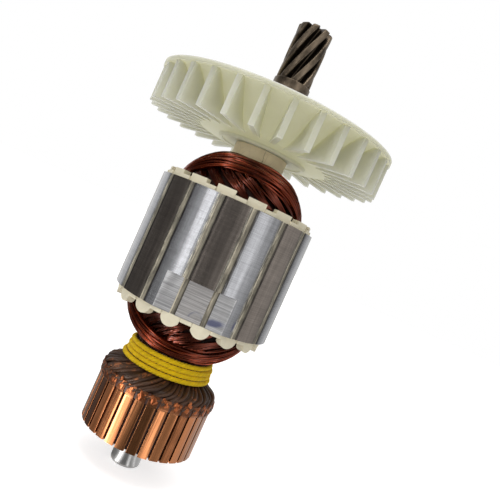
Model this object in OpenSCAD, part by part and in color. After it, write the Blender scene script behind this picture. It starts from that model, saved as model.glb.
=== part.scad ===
// Armature of a universal motor: a shaft with an integral helical pinion carries a slotted
// lamination stack, its enamelled windings, a copper commutator and a moulded cooling fan.
// The shaft runs along Z with the pinion up. Z = 0 is the middle of the commutator-end
// bearing seat, and -Y is the side of the balancing flat.

/* [Shaft] */
// Diameter of the bearing seat at the commutator end
comm_seat_d = 8; // [6:0.5:9]
// Length of the bearing seat at the commutator end, up to its shoulder
comm_seat_l = 8.5; // [7:0.5:16]
// How far that shoulder lies inside the commutator's lower face
shoulder_inset = 0.4; // [0.2:0.1:1]
// Diameter under the commutator
hub_seat_d = 10; // [9.5:0.5:11]
// Diameter under the core and the fan
main_d = 12; // [11.5:0.5:13]
// Diameter of the bearing seat at the drive end
drive_seat_d = 10; // [9.5:0.5:11]
// Length of the bearing seat at the drive end
drive_seat_l = 9; // [7:0.5:12]
// Length of the shaft between the fan and that seat
fan_shoulder = 0.4; // [0.3:0.1:2]
// Chamfer on the shaft ends and shoulders
shaft_chamfer = 0.5; // [0.2:0.1:0.8]

/* [Pinion] */
// Number of pinion teeth
pinion_teeth = 8; // [7:1:10]
// Outside diameter of the pinion
pinion_d = 9.4; // [8:0.2:9.4]
// Depth of a tooth
pinion_tooth_h = 1.9; // [1.4:0.1:2.2]
// Length of the pinion
pinion_l = 15.4; // [10:0.2:18]
// Turn of the helix over the pinion's length, in degrees
pinion_turn = 86; // [40:2:100]

/* [Commutator] */
// Number of copper bars
bar_count = 32; // [24:8:40]
// Diameter of the brush track
track_d = 30.7; // [28:0.1:33]
// How far the risers stand out beyond the brush track
riser_step = 0.2; // [0.1:0.05:0.5]
// Length of the brush track
track_l = 12.5; // [9:0.5:15]
// Length of the risers above the track
riser_l = 2.9; // [2:0.1:4]
// Radial depth of a bar
bar_depth = 4.8; // [3.5:0.1:5.5]
// Gap between bars at the track
bar_gap = 0.55; // [0.3:0.05:0.8]
// Depth of the undercut between bars
undercut = 0.8; // [0.4:0.1:1.5]
// Height of the bevels at a bar's inner ends
bar_foot = 1.2; // [0.8:0.1:2]
// Turn of the bars about the shaft, in degrees
bar_phase = 2.4; // [0:0.1:11]

/* [Core] */
// Diameter of the lamination stack
core_d = 42; // [40:0.5:44]
// Length of the lamination stack
core_l = 30; // [20:1:45]
// Number of slots
slot_count = 16; // [12:2:18]
// Width of a tooth
tooth_w = 3; // [2.6:0.1:3.4]
// Width of a slot's mouth
slot_mouth = 1.3; // [0.9:0.1:1.8]
// Radius of the slot's floor
slot_floor_r = 10.2; // [9.6:0.1:11]
// Depth of the tooth tips at the slot's mouth
tip_h = 1.5; // [0.5:0.1:1.8]
// Depth over which the tips taper
tip_taper = 0.8; // [0.6:0.1:1.6]
// Depth of the balancing flat
flat_depth = 1.77; // [0.6:0.01:2]
// Length of the balancing flat along the core
flat_l = 9; // [4:0.5:15]

/* [Insulation] */
// Wall of the insulating sleeve on the shaft
sleeve_wall = 1.2; // [0.8:0.1:1.5]
// Thickness of a fibre end plate
plate_t = 1; // [0.6:0.1:1.5]
// How far the end plate's fingers stay inside the core's surface
finger_inset = 0.7; // [0.4:0.1:1]
// Thickness of the slot liner
liner_t = 0.3; // [0.2:0.05:0.4]
// Thickness of a slot wedge under the tooth tips
wedge_t = 1.1; // [0.8:0.1:1.4]
// How far the wedges stand out of the core at the fan end
wedge_tab = 2; // [1.2:0.1:3]
// How far their round tongues stand out at the commutator end
wedge_tongue = 3; // [2.8:0.1:4]

/* [Winding] */
// Height of the end winding at the fan end, above the end plate
overhang_fan = 11; // [9:0.5:13]
// Height of the end winding at the commutator end
overhang_comm = 10.5; // [9:0.5:13]
// How much of the dome's crown the leads cut off at the commutator end
dome_cut = 0.7; // [0.3:0.1:1.2]
// Space between the windings and the wedges
winding_clear = 0.1; // [0.05:0.05:0.3]
// Depth of the hollow under the outermost coil
coil_relief = 1.3; // [0.4:0.1:1.5]
// Depth of the grooves between bundles of wire
strand_relief = 0.8; // [0.2:0.05:1]

/* [Leads] */
// Height of the resin-bound leads, from the risers to the winding
leads_l = 8.6; // [7.5:0.1:11]
// Height over the risers where the leads start to turn inward
leads_bend = 0.8; // [0.5:0.1:2]
// Height over the risers where they reach the neck
neck_low = 3.9; // [3.2:0.1:4.2]
// Radius of the neck that the lashing goes round
neck_r = 10.4; // [9.6:0.1:11]
// Depth of the grooves between the leads
lead_relief = 0.45; // [0.1:0.05:0.6]
// Turn of a lead from the risers to the neck, in degrees
lead_turn = 25; // [0:1:60]
// Diameter of the lashing cord
cord_d = 1.05; // [0.8:0.05:1.1]
// Turns of the lashing cord
cord_turns = 4; // [2:1:4]
// Space between the cord and the neck
cord_gap = 0.2; // [0.15:0.05:0.4]
// How much further off the loosest turn stands
cord_slack = 0.8; // [0:0.1:1]

/* [Fan] */
// Diameter of the fan
fan_d = 63.6; // [56:0.2:70]
// Height of the fan
fan_h = 10.3; // [8:0.1:14]
// Number of blades
blade_count = 30; // [20:1:36]
// Thickness of a blade
blade_t = 1.35; // [1:0.05:1.8]
// Radius of the hub's flat underside, where the blades end
hub_flat_r = 17.5; // [15:0.5:20]
// Radius of the rim on the hub's underside
hub_rim_r = 12; // [10.5:0.1:13.5]
// Height of that rim
rim_h = 0.35; // [0.2:0.05:0.6]
// Wall of the fan's dished web
web_t = 1.5; // [1.2:0.1:2]
// Thickness of the fan's flat outer plate
fan_plate_t = 1; // [0.8:0.1:1.4]
// Width of that plate
fan_plate_w = 1.5; // [1:0.5:8]
// How far the hub's flat underside lies above the blades' edges
hub_face_h = 0.6; // [0.3:0.1:1.5]
// Wall of the fan's sleeve round the shaft
fan_sleeve_wall = 3; // [2:0.1:4]
// Bare shaft between the winding and the fan
fan_gap = 2.9; // [2:0.1:5]
// Turn of the blades about the shaft, in degrees
blade_phase = 3.8; // [0:0.1:12]

/* [Fits] */
// Radial clearance drawn at a press fit
press_clear = 0.01; // [0.005:0.005:0.02]
// Side clearance of a wedge in its slot
wedge_clear = 0.03; // [0.02:0.01:0.06]
// Space between a coil and its liner
coil_clear = 0.05; // [0.03:0.01:0.1]

/* [Hidden] */
$fn = 96;
front = -90;
// How far a cut runs past the material
through = 1;
slot_step = 360 / slot_count;
bar_step = 360 / bar_count;
blade_step = 360 / blade_count;

core_r = core_d / 2;
track_r = track_d / 2;
riser_r = track_r + riser_step;
fan_r = fan_d / 2;
main_r = main_d / 2;
sleeve_r = main_r + press_clear + sleeve_wall;
bar_in_r = track_r - bar_depth;
lip_r = core_r - tip_h;
slot_top_r = lip_r - tip_taper;
wedge_in_r = slot_top_r - wedge_t;
tab_r = slot_top_r + wedge_t - winding_clear;
winding_r = wedge_in_r - winding_clear;
bore_r = sleeve_r + winding_clear;

shaft_end_z = -comm_seat_l / 2 - shaft_chamfer;
comm_z = comm_seat_l / 2 - shoulder_inset;
track_top_z = comm_z + track_l;
riser_z = track_top_z + riser_l;
leads_top_z = riser_z + leads_l;
plate_low_z = leads_top_z + overhang_comm;
core_z = plate_low_z + plate_t;
core_top_z = core_z + core_l;
plate_top_z = core_top_z + plate_t;
winding_top_z = plate_top_z + overhang_fan;
fan_z = winding_top_z + fan_gap;
fan_top_z = fan_z + fan_h;
drive_seat_z = fan_top_z + fan_shoulder;
pinion_z = drive_seat_z + drive_seat_l;
pinion_root = shaft_chamfer;

function two_digits(i) = str(i < 10 ? "0" : "", i);
BARS = [for (i = [1:bar_count]) str("commutator_bar_", two_digits(i))];
WEDGES = [for (i = [1:slot_count]) str("slot_wedge_", two_digits(i))];

// ---- Shared shapes ------------------------------------------------------------------------

// Point at radius r, angle a from the front side, and height z
function around(r, a, z) = [r * cos(front + a), r * sin(front + a), z];

// Smooth step from 0 to 1 as x goes from a to b
function ease(a, b, x) = let (t = min(1, max(0, (x - a) / (b - a)))) t * t * (3 - 2 * t);

// Half the width of a slot at distance x from the axis, its walls moved in by inset
function slot_half(x, inset = 0) =
    (x * sin(slot_step / 2) - tooth_w / 2 - inset) / cos(slot_step / 2);

// Closed ring round the axis, through sections at even steps. A section is a list of
// [radius, height] points that run from the outer foot over the top to the inner foot.
module ring(sections) {
    steps = len(sections);
    size = len(sections[0]);
    points = [for (i = [0:steps - 1]) for (p = sections[i]) around(p[0], i * 360 / steps, p[1])];
    faces = [for (i = [0:steps - 1]) for (j = [0:size - 1])
        let (a = i * size + j,
             b = i * size + (j + 1) % size,
             c = ((i + 1) % steps) * size + (j + 1) % size,
             d = ((i + 1) % steps) * size + j)
        each [[a, b, c], [a, c, d]]];
    polyhedron(points, faces);
}

// Places children in slot i, with the slot's middle line along +X
module at_slot(i) {
    rotate([0, 0, front + (i + 0.5) * slot_step]) children();
}

// The flat that was milled away to balance the rotor
module balance_cut() {
    translate([-core_r, -core_r - through, core_z - plate_t - wedge_tongue])
        cube([core_d, through + flat_depth, plate_t + wedge_tongue + flat_l]);
}

// ---- Shaft --------------------------------------------------------------------------------

// Tooth outline: a narrow land, straight flanks and a wide round root
module pinion_outline() {
    tooth = 360 / pinion_teeth;
    tip_r = pinion_d / 2;
    root_r = tip_r - pinion_tooth_h;
    mid_r = (tip_r + root_r) / 2;
    polygon([for (i = [0:pinion_teeth - 1])
        each [for (p = [[root_r, -0.42], [mid_r, -0.25], [tip_r, -0.13],
                        [tip_r, 0.13], [mid_r, 0.25], [root_r, 0.42]])
            p[0] * [cos((i + p[1]) * tooth), sin((i + p[1]) * tooth)]]]);
}

module shaft() {
    color("slategray") {
        rotate_extrude()
            polygon([
                [0, shaft_end_z],
                [comm_seat_d / 2 - shaft_chamfer, shaft_end_z],
                [comm_seat_d / 2, -comm_seat_l / 2],
                [comm_seat_d / 2, comm_seat_l / 2],
                [hub_seat_d / 2, comm_seat_l / 2],
                [hub_seat_d / 2, riser_z],
                [main_r, riser_z],
                [main_r, drive_seat_z - shaft_chamfer],
                [main_r - shaft_chamfer, drive_seat_z],
                [drive_seat_d / 2, drive_seat_z],
                [drive_seat_d / 2, pinion_z],
                [0, pinion_z]
            ]);
        translate([0, 0, pinion_z - pinion_root])
            linear_extrude(height = pinion_l + pinion_root, twist = -pinion_turn, slices = 14)
                pinion_outline();
    }
}

module shaft_insulator() {
    color("khaki")
        translate([0, 0, riser_z])
            difference() {
                cylinder(r = sleeve_r, h = fan_z - riser_z);
                translate([0, 0, -through])
                    cylinder(r = main_r + press_clear, h = fan_z - riser_z + 2 * through);
            }
}

// ---- Core ---------------------------------------------------------------------------------

// Outline of one slot, from its floor to past the core's surface
module slot_outline() {
    polygon([
        [slot_floor_r, -slot_half(slot_floor_r)],
        [slot_top_r, -slot_half(slot_top_r)],
        [lip_r, -slot_mouth / 2],
        [core_r + through, -slot_mouth / 2],
        [core_r + through, slot_mouth / 2],
        [lip_r, slot_mouth / 2],
        [slot_top_r, slot_half(slot_top_r)],
        [slot_floor_r, slot_half(slot_floor_r)]
    ]);
}

// A slot with straight walls all the way out, as the end plates have it
module open_slot_outline() {
    polygon([
        [slot_floor_r, -slot_half(slot_floor_r)],
        [core_r, -slot_half(core_r)],
        [core_r, slot_half(core_r)],
        [slot_floor_r, slot_half(slot_floor_r)]
    ]);
}

module lamination_stack() {
    color("silver")
        difference() {
            translate([0, 0, core_z])
                linear_extrude(height = core_l)
                    difference() {
                        circle(r = core_r);
                        circle(r = sleeve_r + press_clear);
                        for (i = [0:slot_count - 1]) at_slot(i) slot_outline();
                    }
            balance_cut();
        }
}

// ---- Insulation ---------------------------------------------------------------------------

// Star of fibre with one finger over each tooth
module end_plate(z) {
    color("blanchedalmond")
        difference() {
            translate([0, 0, z])
                linear_extrude(height = plate_t)
                    difference() {
                        circle(r = core_r - finger_inset);
                        circle(r = sleeve_r + press_clear);
                        for (i = [0:slot_count - 1]) at_slot(i) open_slot_outline();
                    }
            balance_cut();
        }
}

module end_plate_fan_side() {
    end_plate(core_top_z);
}

module end_plate_commutator_side() {
    end_plate(plate_low_z);
}

// Section of a slot's inside from the floor to top_r, its walls moved in by inset
module slot_room(inset, top_r) {
    polygon([
        [slot_floor_r + inset, -slot_half(slot_floor_r + inset, inset)],
        [top_r, -slot_half(top_r, inset)],
        [top_r, slot_half(top_r, inset)],
        [slot_floor_r + inset, slot_half(slot_floor_r + inset, inset)]
    ]);
}

// U-shaped papers that line every slot, below its wedge
module slot_liners() {
    color("wheat")
        translate([0, 0, plate_low_z])
            linear_extrude(height = core_l + 2 * plate_t)
                for (i = [0:slot_count - 1])
                    at_slot(i)
                        difference() {
                            slot_room(0, winding_r);
                            slot_room(liner_t, winding_r + through);
                        }
}

// Section of a wedge outside the core, between the end plate's fingers
module wedge_tab_outline() {
    polygon([
        [wedge_in_r, -slot_half(wedge_in_r, wedge_clear)],
        [tab_r, -slot_half(tab_r, wedge_clear)],
        [tab_r, slot_half(tab_r, wedge_clear)],
        [wedge_in_r, slot_half(wedge_in_r, wedge_clear)]
    ]);
}

// Section of a wedge inside its slot, filling the mouth
module wedge_outline() {
    mouth_half = slot_mouth / 2 - wedge_clear;
    polygon([
        [wedge_in_r, -slot_half(wedge_in_r, wedge_clear)],
        [slot_top_r - wedge_clear, -slot_half(slot_top_r - wedge_clear, wedge_clear)],
        [lip_r - wedge_clear, -mouth_half],
        [core_r - wedge_clear, -mouth_half],
        [core_r - wedge_clear, mouth_half],
        [lip_r - wedge_clear, mouth_half],
        [slot_top_r - wedge_clear, slot_half(slot_top_r - wedge_clear, wedge_clear)],
        [wedge_in_r, slot_half(wedge_in_r, wedge_clear)]
    ]);
}

// Wedge i closes slot i. Its tab is square at the fan end and round at the commutator end.
module slot_wedge(i) {
    tongue_r = slot_half(tab_r, wedge_clear);
    color("antiquewhite")
        difference() {
            at_slot(i) {
                translate([0, 0, core_z])
                    linear_extrude(height = core_l)
                        wedge_outline();
                translate([0, 0, core_top_z])
                    linear_extrude(height = wedge_tab)
                        wedge_tab_outline();
                intersection() {
                    translate([0, 0, core_z - wedge_tongue])
                        linear_extrude(height = wedge_tongue)
                            wedge_tab_outline();
                    translate([wedge_in_r - through, 0, core_z - wedge_tongue + tongue_r])
                        rotate([0, 90, 0])
                            linear_extrude(height = tab_r - wedge_in_r + 2 * through) {
                                circle(r = tongue_r);
                                translate([-wedge_tongue, -tongue_r])
                                    square([wedge_tongue, 2 * tongue_r]);
                            }
                }
            }
            balance_cut();
        }
}

// ---- Winding ------------------------------------------------------------------------------

// Outline of an end winding at parameter t (0 at its foot, 90 at its crown), before relief
function dome(t, h) = let (power = 1.25)
    [bore_r + (winding_r - bore_r) * pow(cos(t), power), h * pow(sin(t), power)];

// Depth below that outline at angle a. The outermost coil arches over the front and the back,
// and the wires under it slant down into the slots.
function dome_relief(t, a) =
    let (arch = 44 + 26 * cos(2 * a),
         under = 1 - ease(arch - 26, arch - 12, t),
         strand = abs(sin(slot_count / 2 * (a + 0.9 * t))),
         foot = ease(4, 22, t),
         crown = 1 - ease(70, 88, t))
    foot * crown * (coil_relief * under + strand_relief * (1 - strand));

// Section of an end winding at angle a, with its foot at height 0
function dome_section(a, h, cut_h, steps = 11) = concat(
    [for (k = [0:steps])
        let (t = k * 90 / steps,
             p = dome(t, h),
             d = dome_relief(t, a))
        [max(bore_r, p[0] - d * cos(t)), min(cut_h, max(0, p[1] - d * sin(t)))]],
    [[bore_r, 0]]);

module end_winding(h, cut_h) {
    steps = 8 * slot_count;
    ring([for (i = [0:steps - 1]) dome_section(i * 360 / steps, h, cut_h)]);
}

module armature_winding() {
    root = plate_t / 2;
    color("saddlebrown") {
        translate([0, 0, plate_top_z]) end_winding(overhang_fan, overhang_fan);
        translate([0, 0, plate_low_z])
            mirror([0, 0, 1]) end_winding(overhang_comm + dome_cut, overhang_comm);
        translate([0, 0, plate_low_z - root])
            linear_extrude(height = core_l + 2 * plate_t + 2 * root)
                for (i = [0:slot_count - 1])
                    at_slot(i) slot_room(liner_t + coil_clear, winding_r - coil_clear);
    }
}

// ---- Leads and lashing --------------------------------------------------------------------

// Radius of the lead collar at height z above the risers, as a smooth shoulder
function leads_r(z) = neck_r + (track_r - neck_r) * (1 - ease(leads_bend, neck_low, z));

// Leads twist from the neck down to the risers, two to a bar
function lead_ridge(a, z) =
    let (wave = abs(sin(bar_count / 2 * (a - lead_turn * z / neck_low))),
         fade = ease(0, leads_bend / 2, z) * (1 - ease(0.85 * neck_low, 1.08 * neck_low, z)))
    lead_relief * fade * (1 - wave);

module lead_collar() {
    levels = [for (k = [0:8]) 1.1 * neck_low * k / 8];
    steps = 4 * bar_count;
    color("dimgray")
        translate([0, 0, riser_z])
            ring([for (i = [0:steps - 1])
                let (a = i * 360 / steps)
                concat(
                    [for (z = levels) [leads_r(z) - lead_ridge(a, z), z]],
                    [[neck_r, leads_l], [bore_r, leads_l], [bore_r, 0]])]);
}

// Path of the lashing cord at turn t: a slack coil whose turns wander a little. Its ends are
// at the back.
function lashing(t) =
    let (a = 360 * t + 180,
         slack = 1 - ease(0, 1.3, t))
    [neck_r + cord_d / 2 + cord_gap + cord_slack * slack + cord_gap / 2 * sin(2 * a + 40),
     a,
     leads_l - cord_d / 2 - cord_gap - (cord_turns - t) * 1.05 * cord_d + 0.06 * cord_d * sin(a - 70)];

// Tube with round sides and flat ends along the lashing's path
module lashing_cord() {
    per_turn = 30;
    sides = 8;
    count = cord_turns * per_turn;
    points = [for (i = [0:count]) for (k = [0:sides - 1])
        let (p = lashing(i / per_turn),
             turn = 360 * k / sides)
        around(p[0] + cord_d / 2 * cos(turn), p[1], p[2] + cord_d / 2 * sin(turn))];
    skin = [for (i = [0:count - 1]) for (k = [0:sides - 1])
        let (a = i * sides + k,
             b = i * sides + (k + 1) % sides)
        each [[a, a + sides, b + sides], [a, b + sides, b]]];
    first = [for (k = [0:sides - 1]) k];
    last = [for (k = [sides - 1:-1:0]) count * sides + k];
    color("gold")
        translate([0, 0, riser_z])
            polyhedron(points, concat(skin, [first], [last]));
}

// ---- Commutator ---------------------------------------------------------------------------

// Angle taken by the gap between two bars
bar_gap_angle = 360 * bar_gap / (PI * track_d);
bar_angle = bar_step - bar_gap_angle;

// Section of a bar: brush track, riser, and a foot that the moulding grips
module bar_section() {
    polygon([
        [bar_in_r, comm_z + bar_foot],
        [bar_in_r + bar_depth / 2, comm_z],
        [track_r, comm_z],
        [track_r, track_top_z],
        [riser_r, track_top_z + riser_step],
        [riser_r, riser_z],
        [bar_in_r + bar_depth / 2, riser_z],
        [bar_in_r, riser_z - bar_foot]
    ]);
}

module commutator_bar(i) {
    color("peru")
        rotate([0, 0, front + bar_phase + (i - 0.5) * bar_step + bar_gap_angle / 2])
            rotate_extrude(angle = bar_angle)
                bar_section();
}

// Moulded hub: a body that fills the bars' inner side, and a rib between each two bars
module commutator_hub() {
    bore = hub_seat_d / 2 + press_clear;
    rib_r = track_r - undercut;
    rib_root = bar_in_r - bar_gap;
    hub_z = comm_z + shoulder_inset;
    color("sienna") {
        rotate_extrude()
            polygon([
                [bore, hub_z],
                [bar_in_r + bar_depth / 3, hub_z],
                [bar_in_r, comm_z + bar_foot],
                [bar_in_r, riser_z - bar_foot],
                [bar_in_r + bar_depth / 2, riser_z],
                [bore, riser_z]
            ]);
        for (i = [0:bar_count - 1])
            rotate([0, 0, front + bar_phase + (i - 0.5) * bar_step - bar_gap_angle / 2])
                rotate_extrude(angle = bar_gap_angle)
                    polygon([
                        [rib_root, hub_z],
                        [rib_r, hub_z],
                        [rib_r, track_top_z],
                        [track_r, track_top_z + riser_step],
                        [track_r, riser_z],
                        [rib_root, riser_z]
                    ]);
    }
}

// ---- Fan ----------------------------------------------------------------------------------

// Underside of the dished web, from the hub's flat to the outer plate, as a cubic curve that
// stays conical near the rim
plate_in_r = fan_r - fan_plate_w;
web_pull = 0.4 * (plate_in_r - hub_flat_r);
function web_point(t) = let (s = 1 - t)
    s * s * s * [hub_flat_r, hub_face_h]
    + 3 * s * s * t * [hub_flat_r + web_pull, hub_face_h + 0.02 * fan_h]
    + 3 * s * t * t * [plate_in_r - 0.7 * web_pull, 0.68 * fan_h]
    + t * t * t * [plate_in_r, fan_h - fan_plate_t];
web_curve = [for (k = [0:7]) web_point(k / 7)];

// The fan's body: sleeve, rimmed hub face, dished web and flat outer plate
module fan_body() {
    bore = main_r + press_clear;
    sleeve_out_r = bore + fan_sleeve_wall;
    web_top = hub_face_h + web_t;
    rotate_extrude()
        polygon(concat(
            [[bore, 0],
             [hub_rim_r - 1.5 * hub_face_h, 0],
             [hub_rim_r - 1.2 * hub_face_h, -rim_h],
             [hub_rim_r - 0.2 * hub_face_h, -rim_h],
             [hub_rim_r + 0.5 * hub_face_h, 0.75 * hub_face_h]],
            web_curve,
            [[fan_r, fan_h - fan_plate_t],
             [fan_r, fan_h],
             [plate_in_r - fan_plate_t, fan_h]],
            [for (k = [6:-1:1]) web_curve[k] + web_t * [-0.72, 0.85]],
            [[hub_flat_r - 0.7 * web_t, web_top],
             [sleeve_out_r + 0.4 * web_t, web_top],
             [sleeve_out_r, web_top + 0.4 * web_t],
             [sleeve_out_r, fan_h - rim_h],
             [bore, fan_h - rim_h]]));
}

// One straight radial blade, rooted in the web and the outer plate
module fan_blade() {
    root = 0.4 * fan_plate_t;
    tip_r = fan_r - 0.3 * fan_plate_t;
    rotate([90, 0, 0])
        linear_extrude(height = blade_t, center = true)
            polygon(concat(
                [[hub_flat_r - 1.5 * root, hub_face_h + root],
                 [hub_flat_r + root, 0.8 * hub_face_h],
                 [tip_r, 0],
                 [tip_r, fan_h - root]],
                [for (k = [7:-1:1]) web_curve[k] + root * [-0.8, 1]]));
}

module cooling_fan() {
    color("beige")
        translate([0, 0, fan_z]) {
            fan_body();
            for (i = [0:blade_count - 1])
                rotate([0, 0, front + blade_phase + i * blade_step]) fan_blade();
        }
}

// ---- Assembly -----------------------------------------------------------------------------

shaft();
shaft_insulator();
lamination_stack();
end_plate_fan_side();
end_plate_commutator_side();
slot_liners();
armature_winding();
lead_collar();
lashing_cord();
commutator_hub();
cooling_fan();
for (i = [0:bar_count - 1]) commutator_bar(i);
for (i = [0:slot_count - 1]) slot_wedge(i);
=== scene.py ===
"""Looks of the armature of a universal motor, laid out as a Blender add-on.

Lengths are in metres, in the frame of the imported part: the shaft is the Z axis with the pinion up,
Z = 0 is the middle of the commutator-end bearing seat, and -Y is the side of the balancing flat.
Angles round the shaft are in degrees from that side towards +X.
"""
from functools import cached_property

import bmesh
import bpy
import numpy as np
from bpy.props import FloatProperty, FloatVectorProperty, IntProperty, PointerProperty
from mathutils import Matrix, Vector


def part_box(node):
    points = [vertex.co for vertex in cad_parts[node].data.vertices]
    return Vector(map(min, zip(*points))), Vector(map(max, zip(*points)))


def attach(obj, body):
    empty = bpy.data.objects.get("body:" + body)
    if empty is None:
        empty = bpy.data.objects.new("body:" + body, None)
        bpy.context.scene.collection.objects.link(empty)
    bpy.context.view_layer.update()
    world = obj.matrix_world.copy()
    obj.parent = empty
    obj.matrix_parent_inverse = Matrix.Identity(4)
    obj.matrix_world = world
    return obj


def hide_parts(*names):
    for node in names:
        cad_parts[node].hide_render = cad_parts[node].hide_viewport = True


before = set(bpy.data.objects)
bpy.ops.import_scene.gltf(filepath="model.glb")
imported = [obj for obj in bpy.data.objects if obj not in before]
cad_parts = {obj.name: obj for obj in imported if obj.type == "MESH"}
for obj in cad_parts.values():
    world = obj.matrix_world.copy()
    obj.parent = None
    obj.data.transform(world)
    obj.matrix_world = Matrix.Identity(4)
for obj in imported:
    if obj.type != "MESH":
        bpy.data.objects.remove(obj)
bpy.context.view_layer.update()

bl_info = {
    "name": "Motor Armature Looks",
    "version": (1, 0, 0),
    "blender": (4, 5, 0),
    "location": "3D View > Sidebar > Armature",
    "description": "Windings, leads, lashing, pinion and finishes for a universal-motor armature",
    "category": "Object",
}

MM = 0.001
BODY = "root"


# ---- Places worked out from the frame ----

def low_and_high(node):
    """Lowest and greatest height of a node."""
    return [float(corner[2]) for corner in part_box(node)]


def reach(node):
    """Half of a node's width across the shaft."""
    return float(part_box(node)[1][0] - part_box(node)[0][0]) / 2


BARS = sorted(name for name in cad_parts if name.startswith("commutator_bar_"))
WEDGES = sorted(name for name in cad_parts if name.startswith("slot_wedge_"))
SLOT_STEP = 360 / len(WEDGES)
BAR_STEP = 360 / len(BARS)

CORE_LOW, CORE_TOP = low_and_high("lamination_stack")
PLATE_LOW, _ = low_and_high("end_plate_commutator_side")
_, PLATE_TOP = low_and_high("end_plate_fan_side")
COIL_LOW, COIL_TOP = low_and_high("armature_winding")
RISER_TOP, LEADS_TOP = low_and_high("lead_collar")
BARS_LOW = low_and_high(BARS[0])[0]
FAN_LOW, FAN_TOP = low_and_high("cooling_fan")
SHAFT_LOW, SHAFT_TOP = low_and_high("shaft")
SLEEVE_R, COIL_R = reach("shaft_insulator"), reach("armature_winding")
TRACK_R = reach("lead_collar")

# Sizes of the part that no node's box gives: the core, its flat, sheets and slots, the first bar's
# angle, the leads' neck over the risers, and the pinion. Teeth count from well above 0.
CORE_R = 21 * MM
FLAT_Y, FLAT_TOP = -(CORE_R - 1.77 * MM), CORE_LOW + 9 * MM
SHEET = 0.5 * MM
SLOT_MOUTH, SLOT_WALL = 1.3 * MM, 1.86 * MM
SLOT_ANGLES = (np.arange(len(WEDGES)) + 0.5) * SLOT_STEP
BAR_PHASE = 2.4
NECK_R, NECK_LOW = 10.4 * MM, 3.9 * MM
PINION_LENGTH = 15.4 * MM
PINION_LOW = SHAFT_TOP - PINION_LENGTH
TOOTH_WIDTH, BAR_WIDTH = np.radians(SLOT_STEP) * CORE_R, np.radians(BAR_STEP) * TRACK_R
FIRST_TOOTH = 200


# ---- Sizes and colours a user would change ----

def length(name, description, default):
    """A length property, with its default in metres."""
    return FloatProperty(name=name, description=description, default=default, unit='LENGTH',
                         precision=5)


def whole(name, description, default, least, most):
    """A whole-number property."""
    return IntProperty(name=name, description=description, default=default, min=least, max=most)


def colour(name, description, default):
    """A linear colour property."""
    return FloatVectorProperty(name=name, description=description, default=default, size=3,
                               min=0, max=1, subtype='COLOR')


class WindingSettings(bpy.types.PropertyGroup):
    wire: length("Wire", "Diameter of the enamelled wire", 0.5 * MM)
    arch_wires: whole("Arch wires", "Wires side by side in the outermost coil", 16, 4, 24)
    arch_layers: whole("Arch layers", "Layers of wire in the outermost coil", 3, 1, 4)
    slot_wires: whole("Slot wires", "Wires that show where they leave a slot", 12, 4, 16)
    enamel: colour("Enamel", "Colour of the enamelled wire", (0.155, 0.021, 0.003))


class LeadSettings(bpy.types.PropertyGroup):
    lead: length("Lead", "Diameter of a lead with its resin", 1.0 * MM)
    turn: FloatProperty(name="Turn", description="Degrees that a lead turns from riser to neck",
                        default=25, min=0, max=60)
    resin: colour("Resin", "Colour of the resin on the leads", (0.055, 0.024, 0.011))
    cord: length("Cord", "Diameter of the lashing cord", 1.05 * MM)
    turns: whole("Turns", "Turns of the lashing cord", 4, 2, 5)
    cotton: colour("Cotton", "Colour of the lashing cord", (0.9, 0.6, 0.004))


class MetalSettings(bpy.types.PropertyGroup):
    copper: colour("Copper", "Colour of the commutator bars", (0.36, 0.135, 0.055))
    core: colour("Core", "Colour of the turned laminations", (0.34, 0.335, 0.335))
    steel: colour("Steel", "Colour of the ground shaft", (0.36, 0.355, 0.35))
    oiled: colour("Oiled steel", "Colour of the pinion", (0.045, 0.035, 0.025))


class MouldingSettings(bpy.types.PropertyGroup):
    nylon: colour("Nylon", "Colour of the fan", (0.535, 0.53, 0.385))
    fibre: colour("Fibre", "Colour of the end plates and wedges", (0.84, 0.77, 0.58))
    wedge: colour("Wedge", "Colour of the strips in the slots' mouths", (0.23, 0.205, 0.155))
    sleeve: colour("Sleeve", "Colour of the sleeve on the shaft", (0.74, 0.62, 0.38))
    hub: colour("Hub", "Colour of the commutator's moulding", (0.05, 0.016, 0.01))


class StageSettings(bpy.types.PropertyGroup):
    camera_distance: length("Camera distance", "From the shaft to the camera", 154.8 * MM)
    camera_height: length("Camera height", "Height of the camera over the core's middle", 8.1 * MM)
    lens: FloatProperty(name="Lens", description="Focal length in millimetres", default=42.35)
    roll: FloatProperty(name="Roll", description="Lean of the picture, in degrees", default=24.13)
    backdrop: colour("Backdrop", "Colour of the floor and the background", (1, 1, 1))


# ---- Meshes from arrays ----

def around(radius, angle, height):
    """Points at (radius sin angle, -radius cos angle, height), the angle in degrees."""
    turn = np.radians(angle)
    radius, turn, height = np.broadcast_arrays(radius, turn, height)
    return np.stack([radius * np.sin(turn), -radius * np.cos(turn), height], axis=-1)


def full_turn(count):
    """A column of angles in equal steps round the shaft."""
    return np.arange(count)[:, None] * 360 / count


def ease(start, end, x):
    """Smooth step 3 t^2 - 2 t^3, where t goes from 0 at start to 1 at end."""
    t = np.clip((x - start) / (end - start), 0, 1)
    return t * t * (3 - 2 * t)


def grid_quads(rows, columns, close_rows=False, close_columns=False):
    """Quads that join each point of a rows by columns grid to the next row and column.

    They face along the row direction times the column direction.
    """
    i = np.arange(rows if close_rows else rows - 1)
    j = np.arange(columns if close_columns else columns - 1)
    i, j = np.meshgrid(i, j, indexing="ij")
    down, right = (i + 1) % rows, (j + 1) % columns
    quads = [i * columns + j, down * columns + j, down * columns + right, i * columns + right]
    return np.stack(quads, axis=-1).reshape(-1, 4)


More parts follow.
